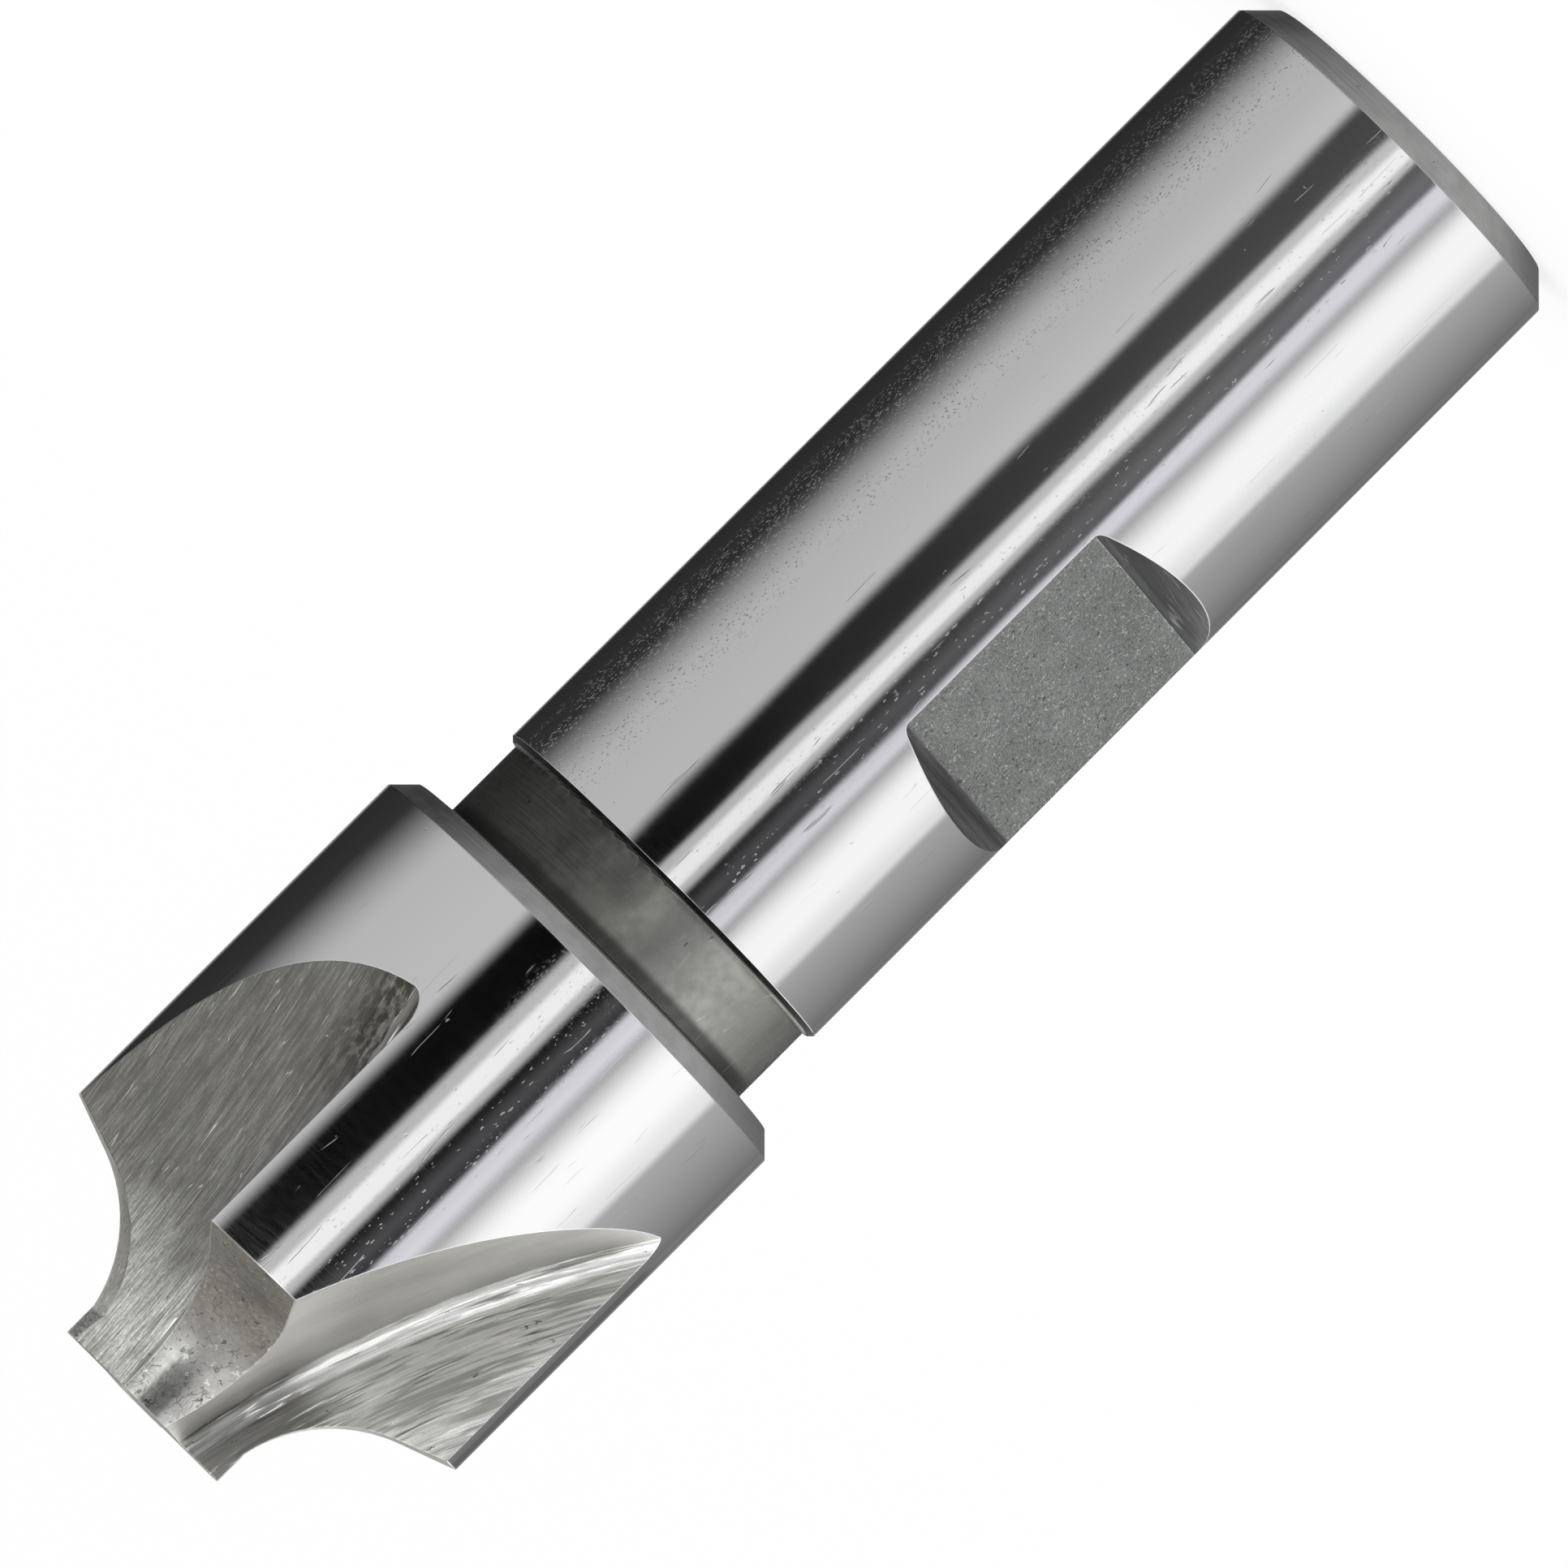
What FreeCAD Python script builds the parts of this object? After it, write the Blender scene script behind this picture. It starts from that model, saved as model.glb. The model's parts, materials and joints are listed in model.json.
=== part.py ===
import FreeCAD, Part
import math
import os

# A corner rounding end mill: one piece of tool steel, turned, fluted, form relieved and ground.
# It stands on its shank end. The origin is the middle of that end and +Z runs up to the tip.
# All lengths are in millimetres and all angles in degrees.

# Shank
shank_diameter = 25.4
shank_length = 63.3
shank_end_chamfer = 1.7
shank_front_chamfer = 0.25

# Neck between the shank and the head
neck_diameter = 24.2
neck_length = 5.55
neck_fillet = 0.22

# Head that carries the teeth
head_diameter = 31.75
head_length = 38.15
head_back_chamfer = 1.3
head_back_dish = 0.25

# Concave form that rounds the corner of the work
tip_diameter = 13.0
form_radius = 9.525
form_centre_drop = 0.3
form_tip_undercut = 0.2
form_end_angle = 70.0
lead_out_angle = 20.0

# Teeth and flutes
tooth_count = 4
first_tooth_angle = -69.8
rake_offset = 0.6
relief_offset = 1.0
flute_length = 28.9
flute_root_at_tip = 3.35
flute_wheel_radius = 75.0
flute_wheel_taper = 3.7
flute_fillet = 1.3

# Clamping flat on the shank
flat_depth = 2.65
flat_length = 16.35
flat_middle = 38.7
flat_angle = 216.5
flat_wall_angle = 57.0
flat_fillet = 0.8

# Centre holes that held the tool between the grinder's centres
centre_angle = 60.0
drill_point_angle = 118.0
shank_centre_diameter = 7.5
shank_pilot_diameter = 3.2
shank_pilot_depth = 3.0
tip_centre_diameter = 3.6
tip_pilot_diameter = 1.6
tip_pilot_depth = 1.8

# How far a cutting shape reaches past the metal that it removes, and the angle by which
# the relieving cut starts ahead of its edge, in the open flute
clear = 2.0
form_cut_lead = 5.0

# What follows from the sizes above
shank_radius = shank_diameter / 2
neck_radius = neck_diameter / 2
head_radius = head_diameter / 2
tip_radius = tip_diameter / 2
head_start = shank_length + neck_length
overall_length = head_start + head_length
tooth_pitch = 360 / tooth_count

AXIS = FreeCAD.Vector(0, 0, 1)
ORIGIN = FreeCAD.Vector(0, 0, 0)


def slope(angle):
    """Rise over run of a line at this angle."""
    return math.tan(math.radians(angle))


def section_point(radius, height):
    """A point in the XZ half plane, by its distance from the axis and its height."""
    return FreeCAD.Vector(radius, 0, height)


def face_from(edges):
    """The flat face inside a closed run of edges."""
    return Part.Face(Part.Wire(edges))


def polygon_edges(points):
    """Straight edges from each point to the next, left open at the end."""
    return [Part.makeLine(start, end) for start, end in zip(points, points[1:])]


def centre_hole_points(centre_diameter, pilot_diameter, pilot_depth):
    """Mouth, throat, pilot end and drill point of a centre hole, as radius and depth."""
    mouth = centre_diameter / 2
    pilot = pilot_diameter / 2
    throat_depth = (mouth - pilot) / slope(centre_angle / 2)
    pilot_end = throat_depth + pilot_depth
    point_end = pilot_end + pilot / slope(drill_point_angle / 2)
    return [(mouth, 0), (pilot, throat_depth), (pilot, pilot_end), (0, point_end)]


def is_circle(edge, radius):
    """Whether an edge is round and has this radius."""
    return isinstance(edge.Curve, Part.Circle) and math.isclose(edge.Curve.Radius, radius)


def round_edges(solid, radius, height):
    """The round edges of a turned solid that have this radius and height."""
    circles = [edge for edge in solid.Edges if is_circle(edge, radius)]
    return [edge for edge in circles if math.isclose(edge.Curve.Center.z, height)]


def turned_blank():
    """Shank, neck and head as they leave the lathe, with the centre holes in both ends."""
    shank_hole = centre_hole_points(shank_centre_diameter, shank_pilot_diameter, shank_pilot_depth)
    tip_hole = centre_hole_points(tip_centre_diameter, tip_pilot_diameter, tip_pilot_depth)
    outline = [(radius, depth) for radius, depth in reversed(shank_hole)]
    outline += [
        (shank_radius - shank_end_chamfer, 0),
        (shank_radius, shank_end_chamfer),
        (shank_radius, shank_length - shank_front_chamfer),
        (shank_radius - shank_front_chamfer, shank_length),
        (neck_radius, shank_length),
        (neck_radius, head_start),
        (head_radius - head_back_chamfer, head_start + head_back_dish),
        (head_radius, head_start + head_back_dish + head_back_chamfer),
        (head_radius, overall_length),
    ]
    outline += [(radius, overall_length - depth) for radius, depth in tip_hole]
    points = [section_point(radius, height) for radius, height in outline]
    section = face_from(polygon_edges(points + points[:1]))
    blank = section.revolve(ORIGIN, AXIS, 360)
    corners = round_edges(blank, neck_radius, shank_length)
    corners += round_edges(blank, neck_radius, head_start)
    return blank.makeFillet(neck_fillet, corners)


def form_cut():
    """What the relieving wheel takes off one tooth, back to the flute of the tooth behind it.

    The tooth points along +X and cuts towards +Y. The axis of the relieved surface stands
    beside the tool's axis, on the side that the edge leads to, so the tooth falls away behind
    its edge while every part of the profile keeps its shape.
    """
    edge_reach = math.sqrt(tip_radius ** 2 - rake_offset ** 2)
    edge_rise = math.hypot(edge_reach, rake_offset + relief_offset) - tip_radius
    centre_radius = tip_radius + form_radius - form_tip_undercut
    centre_height = overall_length - form_centre_drop
    start_angle = math.degrees(math.acos((centre_radius - tip_radius) / form_radius))

    def arc_point(angle):
        along = form_radius * math.cos(math.radians(angle))
        down = form_radius * math.sin(math.radians(angle))
        return section_point(centre_radius - along + edge_rise, centre_height - down)

    arc_start = arc_point(start_angle)
    arc_middle = arc_point((start_angle + form_end_angle) / 2)
    arc_end = arc_point(form_end_angle)
    top = overall_length + clear
    outside = max(head_radius, arc_end.x) + clear
    lead_out_end = section_point(outside, arc_end.z - (outside - arc_end.x) * slope(lead_out_angle))
    land_top = section_point(arc_start.x, top)
    edges = [Part.makeLine(land_top, arc_start)]
    edges.append(Part.Arc(arc_start, arc_middle, arc_end).toShape())
    edges += polygon_edges([arc_end, lead_out_end, section_point(outside, top), land_top])
    section = face_from(edges)
    section.rotate(ORIGIN, AXIS, form_cut_lead - tooth_pitch)
    beside = FreeCAD.Vector(0, relief_offset, 0)
    section.translate(beside)
    return section.revolve(beside, AXIS, tooth_pitch)


def flute_wheel_centre():
    """Distance from the axis and height of the fluting wheel's centre.

    The wheel's rim passes through the flute's root at the tip and through the place where
    the flute runs out at the head's surface.
    """
    root = FreeCAD.Vector(flute_root_at_tip, 0, overall_length)
    run_out = FreeCAD.Vector(head_radius, 0, overall_length - flute_length)
    chord = run_out - root
    half = chord.Length / 2
    reach = math.sqrt(flute_wheel_radius ** 2 - half ** 2)
    across = FreeCAD.Vector(-chord.z, 0, chord.x).normalize()
    return (root + run_out) * 0.5 + across * reach


def flute_cut():
    """The fluting wheel at the end of its stroke, for the tooth that points along +X.

    Its flat side cuts the rake face and its slightly tapered rim cuts the floor. The face lies
    a little behind the tool's axis, which gives the edge a positive rake.
    """
    centre = flute_wheel_centre()
    width = head_radius + rake_offset + clear
    far_radius = flute_wheel_radius - width * slope(flute_wheel_taper)

    def rim_point(radius, across):
        return FreeCAD.Vector(centre.x - radius, across - rake_offset, centre.z)

    points = [rim_point(0, 0), rim_point(flute_wheel_radius, 0), rim_point(far_radius, width),
              rim_point(0, width)]
    section = face_from(polygon_edges(points + points[:1]))
    wheel = section.revolve(centre, FreeCAD.Vector(0, 1, 0), 360)
    rim_corner = [edge for edge in wheel.Edges if is_circle(edge, flute_wheel_radius)]
    return wheel.makeFillet(flute_fillet, rim_corner)


def clamp_flat_cut():
    """The cutter's path across the shank, with sloping end walls and rounded corners."""
    floor = shank_radius - flat_depth
    outside = shank_radius + clear
    half_floor = flat_length / 2
    half_mouth = half_floor + (outside - floor) * slope(90 - flat_wall_angle)
    points = [
        section_point(outside, flat_middle - half_mouth),
        section_point(floor, flat_middle - half_floor),
        section_point(floor, flat_middle + half_floor),
        section_point(outside, flat_middle + half_mouth),
    ]
    section = face_from(polygon_edges(points + points[:1]))
    section.translate(FreeCAD.Vector(0, -outside, 0))
    block = section.extrude(FreeCAD.Vector(0, 2 * outside, 0))
    corners = []
    for edge in block.Edges:
        runs_across = abs(edge.BoundBox.YLength - 2 * outside) < 1e-6
        on_floor = abs(edge.BoundBox.XMax - floor) < 1e-6
        if runs_across and on_floor:
            corners.append(edge)
    block = block.makeFillet(flat_fillet, corners)
    block.rotate(ORIGIN, AXIS, flat_angle)
    return block


def tooth_cuts():
    """The relieving and the fluting cut of every tooth."""
    cuts = []
    for tooth in range(tooth_count):
        for cut in (form_cut(), flute_cut()):
            cut.rotate(ORIGIN, AXIS, first_tooth_angle + tooth * tooth_pitch)
            cuts.append(cut)
    return cuts


def corner_rounding_end_mill():
    """The whole tool, which is one solid."""
    tool = turned_blank()
    for cut in tooth_cuts():
        tool = tool.cut(cut)
    tool = tool.cut(clamp_flat_cut())
    return tool.Solids[0]


os.makedirs("parts", exist_ok=True)
tool = corner_rounding_end_mill()
tool.exportStep("parts/corner_rounding_end_mill.step")
print("length", round(overall_length, 2), "volume", round(tool.Volume, 1), "valid", tool.isValid())
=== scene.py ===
import json
import math

import bmesh
import bpy
from mathutils import Matrix, Vector

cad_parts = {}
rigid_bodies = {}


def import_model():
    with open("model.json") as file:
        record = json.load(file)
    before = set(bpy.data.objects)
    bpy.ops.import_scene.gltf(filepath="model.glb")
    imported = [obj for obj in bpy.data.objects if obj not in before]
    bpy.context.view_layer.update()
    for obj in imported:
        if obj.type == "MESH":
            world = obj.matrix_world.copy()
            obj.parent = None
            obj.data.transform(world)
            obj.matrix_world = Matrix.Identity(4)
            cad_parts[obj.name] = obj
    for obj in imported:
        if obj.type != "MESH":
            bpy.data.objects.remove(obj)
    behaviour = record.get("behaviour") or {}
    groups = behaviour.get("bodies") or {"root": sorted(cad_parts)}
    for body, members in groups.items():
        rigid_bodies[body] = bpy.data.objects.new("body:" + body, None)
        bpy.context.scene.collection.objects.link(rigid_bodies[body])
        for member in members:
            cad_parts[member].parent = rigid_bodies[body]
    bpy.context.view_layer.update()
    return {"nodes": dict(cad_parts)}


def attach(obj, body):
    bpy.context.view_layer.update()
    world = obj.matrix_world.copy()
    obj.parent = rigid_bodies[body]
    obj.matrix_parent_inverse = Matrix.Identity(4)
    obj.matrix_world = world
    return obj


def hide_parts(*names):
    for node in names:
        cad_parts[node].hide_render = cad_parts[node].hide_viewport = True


# The looks of a corner rounding end mill. The tool stands on its shank end with +Z towards the
# tip. Sizes are in millimetres up to the point where they reach a mesh, a lamp or the camera.

MM = 0.001
NODE = "corner_rounding_end_mill"

# Shank and neck
SHANK_RADIUS = 12.7
SHANK_LENGTH = 63.3
SHANK_END_RADIUS = 11.0
SHANK_END_CHAMFER = 1.7
SHANK_FRONT_CHAMFER = 0.25
SHANK_CENTRE_RADIUS = 3.75
SHANK_CENTRE_DEPTH = 12
NECK_RADIUS = 12.1
NECK_FILLET = 0.22

# Head
HEAD_START = 68.85
HEAD_RADIUS = 15.875
HEAD_BACK_CHAMFER = 1.3
HEAD_BACK_DISH = 0.25
OVERALL_LENGTH = 107.0
TIP_CENTRE_RADIUS = 1.8

# Teeth, their relieved form and the wheel that ground the flutes
TOOTH_COUNT = 4
TOOTH_PITCH = 360 / TOOTH_COUNT
FIRST_TOOTH_ANGLE = -69.8
RAKE_OFFSET = 0.6
RELIEF_OFFSET = 1.0
FORM_RADIUS = 9.525
FORM_CENTRE_RADIUS = 15.992
FORM_CENTRE_HEIGHT = 106.7
FORM_START_HEIGHT = 104.759
FORM_END_HEIGHT = 97.749
FORM_END_RADIUS = 12.734
LAND_RADIUS = 6.667
LEAD_OUT_ANGLE = math.radians(20)
WHEEL_RADIUS = 75.0
WHEEL_TAPER = math.tan(math.radians(3.7))
WHEEL_CENTRE = (76.8935, 121.709)
CORNER_RADIUS = 1.3
CORNER_SIDE = 0.7
CORNER_REACH = 73.613

# Clamping flat
FLAT_REACH = 10.05
FLAT_MIDDLE = 38.7
FLAT_HALF_LENGTH = 10.5
FLAT_ANGLE = math.radians(216.5)

# How far the middle of a facet may lie from the round surface that it stands for
SHANK_SAG = 0.06
HEAD_SAG = 0.07
RIM_SAG = 0.05
CORNER_SAG = 0.09
RELIEF_SAG = 0.15
SLACK = 0.01

# The finishes, and the pairs whose surfaces run into each other without an edge
FINISHES = [
    "shank_ground", "head_ground", "turned", "front_edge", "neck_scale", "flat_floor", "flat_wall",
    "flute_floor", "flute_corner", "rake_face", "form_relief", "tip_face", "centre_hole",
]
TANGENT_FINISHES = [
    {"flute_floor", "flute_corner"},
    {"flute_corner", "rake_face"},
    {"flat_floor", "flat_wall"},
]

# Slices that make the solid's facets finer: degrees between those through the axis, and heights
SLICE_ANGLE = 3
HEAD_SLICES = range(78, 107)
SHANK_SLICES = range(4, 73, 4)

# Corners of the turned outline, as radius and height, in runs without a step
TURNED_RUNS = [
    [(SHANK_END_RADIUS, 0.0), (SHANK_RADIUS, SHANK_END_CHAMFER),
     (SHANK_RADIUS, SHANK_LENGTH - SHANK_FRONT_CHAMFER),
     (SHANK_RADIUS - SHANK_FRONT_CHAMFER, SHANK_LENGTH)],
    [(NECK_RADIUS, SHANK_LENGTH + NECK_FILLET), (NECK_RADIUS, HEAD_START - NECK_FILLET)],
    [(HEAD_RADIUS - HEAD_BACK_CHAMFER, HEAD_START + HEAD_BACK_DISH),
     (HEAD_RADIUS, HEAD_START + HEAD_BACK_DISH + HEAD_BACK_CHAMFER), (HEAD_RADIUS, OVERALL_LENGTH)],
]


def to_tooth(point, tooth):
    """A point or direction in the frame of one tooth, which points along X and cuts towards Y."""
    turn = math.radians(-(FIRST_TOOTH_ANGLE + tooth * TOOTH_PITCH))
    cosine, sine = math.cos(turn), math.sin(turn)
    return Vector((point.x * cosine - point.y * sine, point.x * sine + point.y * cosine, point.z))


def from_tooth(place, tooth):
    """A point or direction in the frame of a tooth, turned back into the tool's."""
    turn = math.radians(FIRST_TOOTH_ANGLE + tooth * TOOTH_PITCH)
    return Matrix.Rotation(turn, 3, "Z") @ place


def wheel_distance(place):
    """Distance from the fluting wheel's axis, in the frame of a tooth."""
    return math.hypot(place.x - WHEEL_CENTRE[0], place.z - WHEEL_CENTRE[1])


def rim_distance(place):
    """Distance of the wheel's tapered rim from its axis, beside a place in a tooth's frame."""
    return WHEEL_RADIUS - (place.y + RAKE_OFFSET) * WHEEL_TAPER


def tooth_finish(centre, normal):
    """Which cut made a face between the teeth."""
    for tooth in range(TOOTH_COUNT):
        place = to_tooth(centre, tooth)
        facing = to_tooth(normal, tooth)
        reach = wheel_distance(place)
        on_rake = abs(place.y + RAKE_OFFSET) < 2 * SLACK
        if facing.y > 0.99 and on_rake and reach < CORNER_REACH:
            return "rake_face"
        if place.x > 0 and place.y > -RAKE_OFFSET - 2 * SLACK:
            on_rim = abs(reach - rim_distance(place)) < RIM_SAG
            if facing.x > 0.3 and on_rim and place.y > CORNER_SIDE:
                return "flute_floor"
            corner = math.hypot(place.y - CORNER_SIDE, reach - CORNER_REACH)
            if abs(corner - CORNER_RADIUS) < CORNER_SAG and place.y < CORNER_SIDE + 0.2:
                return "flute_corner"
    return "form_relief"


def face_finish(centre, normal):
    """The finish of a face from where it lies and which way it faces."""
    radius = math.hypot(centre.x, centre.y)
    outward = (normal.x * centre.x + normal.y * centre.y) / max(radius, 1e-6)
    if centre.z < SHANK_LENGTH + SLACK:
        across = centre.x * math.cos(FLAT_ANGLE) + centre.y * math.sin(FLAT_ANGLE)
        facing = normal.x * math.cos(FLAT_ANGLE) + normal.y * math.sin(FLAT_ANGLE)
        if radius < SHANK_CENTRE_RADIUS - SLACK and centre.z < SHANK_CENTRE_DEPTH:
            return "centre_hole"
        if abs(radius - SHANK_RADIUS) < SHANK_SAG and outward > 0.99:
            return "shank_ground"
        if abs(centre.z - FLAT_MIDDLE) < FLAT_HALF_LENGTH and across > FLAT_REACH - RIM_SAG:
            return "flat_floor" if facing > 0.97 else "flat_wall"
        return "turned" if centre.z < SHANK_LENGTH - 1 else "front_edge"
    if centre.z < HEAD_START + HEAD_BACK_CHAMFER + 0.2:
        return "neck_scale" if radius < NECK_RADIUS + 0.3 and outward > -0.5 else "turned"
    if abs(radius - HEAD_RADIUS) < HEAD_SAG and outward > 0.99:
        return "head_ground"
    if centre.z < HEAD_START + 3:
        return "turned"
    if normal.z > 0.999 and centre.z > OVERALL_LENGTH - SLACK:
        return "tip_face"
    if radius < TIP_CENTRE_RADIUS + SLACK and outward < -0.1:
        return "centre_hole"
    return tooth_finish(centre, normal)


def mark_finishes(mesh):
    """Give every face its finish."""
    for face in mesh.faces:
        finish = face_finish(face.calc_center_median(), face.normal)
        face.material_index = FINISHES.index(finish)


def cut_finer(mesh):
    """Slice the facets of the solid along the axis and across it, so that they can follow the
    round surfaces more closely."""
    turns = [math.radians(angle) for angle in range(0, 180, SLICE_ANGLE)]
    cuts = [((0, 0, 0), (-math.sin(turn), math.cos(turn), 0)) for turn in turns]
    cuts += [((0, 0, height), (0, 0, 1)) for height in (*HEAD_SLICES, *SHANK_SLICES)]
    for place, normal in cuts:
        everything = mesh.verts[:] + mesh.edges[:] + mesh.faces[:]
        bmesh.ops.bisect_plane(mesh, geom=everything, dist=1e-5, plane_co=place, plane_no=normal)


def turned_radius(radius, height):
    """The radius of the turned outline at a height, if the point lies on it, or None."""
    for run in TURNED_RUNS:
        for (start, low), (end, high) in zip(run, run[1:]):
            if low - 1e-4 <= height <= high + 1e-4:
                there = start + (end - start) * (height - low) / (high - low)
                if abs(there - radius) < RIM_SAG:
                    return there
    return None


def flute_place(point):
    """The tooth whose flute floor a point lies on, and the point in its frame, or None."""
    for tooth in range(TOOTH_COUNT):
        place = to_tooth(point, tooth)
        if place.x > 0 and place.y > CORNER_SIDE:
            if abs(wheel_distance(place) - rim_distance(place)) < RIM_SAG:
                return tooth, place
    return None


def relief_reach(height):
    """Distance of the relieved form from its own axis, at a height."""
    if height > FORM_START_HEIGHT:
        return LAND_RADIUS
    if height > FORM_END_HEIGHT:
        drop = FORM_CENTRE_HEIGHT - height
        return FORM_CENTRE_RADIUS - math.sqrt(FORM_RADIUS ** 2 - drop ** 2)
    return FORM_END_RADIUS + (FORM_END_HEIGHT - height) / math.tan(LEAD_OUT_ANGLE)


def relief_place(point):
    """The tooth whose relieved form a point lies on, the point in its frame and its distance
    from the form's axis, or None."""
    for tooth in range(TOOTH_COUNT):
        place = to_tooth(point, tooth)
        if -88 < math.degrees(math.atan2(place.y, place.x)) <= 2:
            reach = math.hypot(place.x, place.y - RELIEF_OFFSET)
            if abs(reach - relief_reach(place.z)) < RELIEF_SAG:
                return tooth, place, reach
    return None


def settle_on_round_surfaces(mesh):
    """Lay the corners that the slicing made back on the surfaces that the facets stand for."""
    round_kinds = {"shank_ground", "head_ground", "turned", "neck_scale"}
    for vert in mesh.verts:
        kinds = {FINISHES[face.material_index] for face in vert.link_faces}
        radius = math.hypot(vert.co.x, vert.co.y)
        if kinds & round_kinds:
            wanted = turned_radius(radius, vert.co.z)
            if wanted:
                vert.co.x *= wanted / radius
                vert.co.y *= wanted / radius
        elif kinds == {"flute_floor"}:
            found = flute_place(vert.co)
            if found:
                tooth, place = found
                scale = rim_distance(place) / wheel_distance(place)
                place.x = WHEEL_CENTRE[0] + (place.x - WHEEL_CENTRE[0]) * scale
                place.z = WHEEL_CENTRE[1] + (place.z - WHEEL_CENTRE[1]) * scale
                vert.co = from_tooth(place, tooth)
        elif kinds == {"form_relief"}:
            found = relief_place(vert.co)
            if found:
                tooth, place, reach = found
                scale = relief_reach(place.z) / reach
                place.x *= scale
                place.y = RELIEF_OFFSET + (place.y - RELIEF_OFFSET) * scale
                vert.co = from_tooth(place, tooth)


def mark_sharp_edges(mesh, crease, step):
    """Edges past the crease angle stay crisp, and so do those between two cuts from a smaller
    step on, and the facets within one cut blend. Both angles are in degrees."""
    for edge in mesh.edges:
        if len(edge.link_faces) != 2:
            continue
        kinds = {FINISHES[face.material_index] for face in edge.link_faces}
        angle = math.degrees(edge.calc_face_angle(0))
        parts = len(kinds) == 2 and kinds not in TANGENT_FINISHES and angle > step
        edge.smooth = not (parts or angle > crease)


def flute_normal(kind, point):
    """Which way the flute's floor or its rounded corner faces at a point, and its tooth."""
    for tooth in range(TOOTH_COUNT):
        place = to_tooth(point, tooth)
        reach = wheel_distance(place)
        outward = Vector((place.x - WHEEL_CENTRE[0], 0, place.z - WHEEL_CENTRE[1])) / reach
        side = CORNER_SIDE if kind == "flute_floor" else -RAKE_OFFSET
        if place.x < 0 or place.y < side - 2 * SLACK:
            continue
        if kind == "flute_floor":
            if abs(reach - rim_distance(place)) < RIM_SAG:
                return tooth, (-outward - Vector((0, WHEEL_TAPER, 0))).normalized()
        else:
            inward = Vector((0, CORNER_SIDE - place.y, 0)) + outward * (CORNER_REACH - reach)
            on_corner = abs(inward.length - CORNER_RADIUS) < CORNER_SAG
            if on_corner and place.y < CORNER_SIDE + 0.15:
                return tooth, inward.normalized()
    return None


def relief_normal(point):
    """Which way the relieved form faces at a point, and its tooth."""
    found = relief_place(point)
    if not found:
        return None
    tooth, place, reach = found
    outward = Vector((place.x, place.y - RELIEF_OFFSET, 0)) / reach
    if place.z > FORM_START_HEIGHT:
        return tooth, outward
    if place.z > FORM_END_HEIGHT:
        along = Vector((0, 0, FORM_CENTRE_HEIGHT - place.z))
        return tooth, (outward * (FORM_CENTRE_RADIUS - reach) + along).normalized()
    return tooth, outward * math.sin(LEAD_OUT_ANGLE) + Vector((0, 0, math.cos(LEAD_OUT_ANGLE)))


def true_normal(kind, point):
    """The normal of a round surface at a point, in millimetres, or zero for the mesh's own."""
    if kind in ("shank_ground", "head_ground"):
        return Vector((point.x, point.y, 0)).normalized()
    found = None
    if kind in ("flute_floor", "flute_corner"):
        found = flute_normal(kind, point)
    elif kind == "form_relief":
        found = relief_normal(point)
    if not found:
        return Vector((0, 0, 0))
    tooth, facing = found
    return from_tooth(facing, tooth)


def dressed_tool(node):
    """A finer copy of the frame's solid, which stands for it in the picture."""
    mesh = bmesh.new()
    mesh.from_mesh(node.data)
    bmesh.ops.remove_doubles(mesh, verts=mesh.verts, dist=2e-6)
    bmesh.ops.scale(mesh, verts=mesh.verts, vec=(1 / MM,) * 3)
    cut_finer(mesh)
    mesh.normal_update()
    mark_finishes(mesh)
    settle_on_round_surfaces(mesh)
    mesh.normal_update()
    mark_sharp_edges(mesh, 31, 8)
    for face in mesh.faces:
        face.smooth = True
    data = bpy.data.meshes.new("end_mill_dressed")
    mesh.to_mesh(data)
    mesh.free()
    normals = [Vector((0, 0, 0))] * len(data.loops)
    for face in data.polygons:
        kind = FINISHES[face.material_index]
        for loop in face.loop_indices:
            normals[loop] = true_normal(kind, data.vertices[data.loops[loop].vertex_index].co)
    data.normals_split_custom_set(normals)
    data.transform(Matrix.Scale(MM, 4))
    tool = bpy.data.objects.new("end_mill_dressed", data)
    bpy.context.scene.collection.objects.link(tool)
    return tool


# Nodes that the studio and the finishes are put together from

NUMBER = "NodeSocketFloat"
VECTOR = "NodeSocketVector"


def give(tree, socket, value):
    """Set a socket to a plain value, or link another socket to it."""
    if isinstance(value, bpy.types.NodeSocket):
        tree.links.new(value, socket)
    else:
        socket.default_value = value


def number(tree, operation, first, second=0.0):
    """A Math node on sockets or plain numbers."""
    node = tree.nodes.new("ShaderNodeMath")
    node.operation = operation
    give(tree, node.inputs[0], first)
    give(tree, node.inputs[1], second)
    return node.outputs[0]


def times(tree, first, *others):
    """The product of masks and numbers."""
    for other in others:
        first = number(tree, "MULTIPLY", first, other)
    return first


def total(tree, base, *parts):
    """A base value plus each mask times its weight."""
    for mask, weight in parts:
        base = number(tree, "ADD", times(tree, mask, weight), base)
    return base


def spread(tree, value, low, high, to_low=0.0, to_high=1.0, smooth=True):
    """A Map Range node, clamped at both ends."""
    node = tree.nodes.new("ShaderNodeMapRange")
    node.interpolation_type = "SMOOTHSTEP" if smooth else "LINEAR"
    for socket, setting in zip(node.inputs, (value, low, high, to_low, to_high)):
        give(tree, socket, setting)
    return node.outputs[0]


def vector_math(tree, operation, first, second=(0, 0, 0)):
    """A Vector Math node on sockets or plain vectors."""
    node = tree.nodes.new("ShaderNodeVectorMath")
    node.operation = operation
    give(tree, node.inputs[0], first)
    give(tree, node.inputs[1], second)
    return node.outputs["Value" if operation in ("LENGTH", "DOT_PRODUCT") else "Vector"]


def scaled(tree, place, by):
    """A place times one number on every axis."""
    return vector_math(tree, "MULTIPLY", place, (by, by, by))


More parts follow.
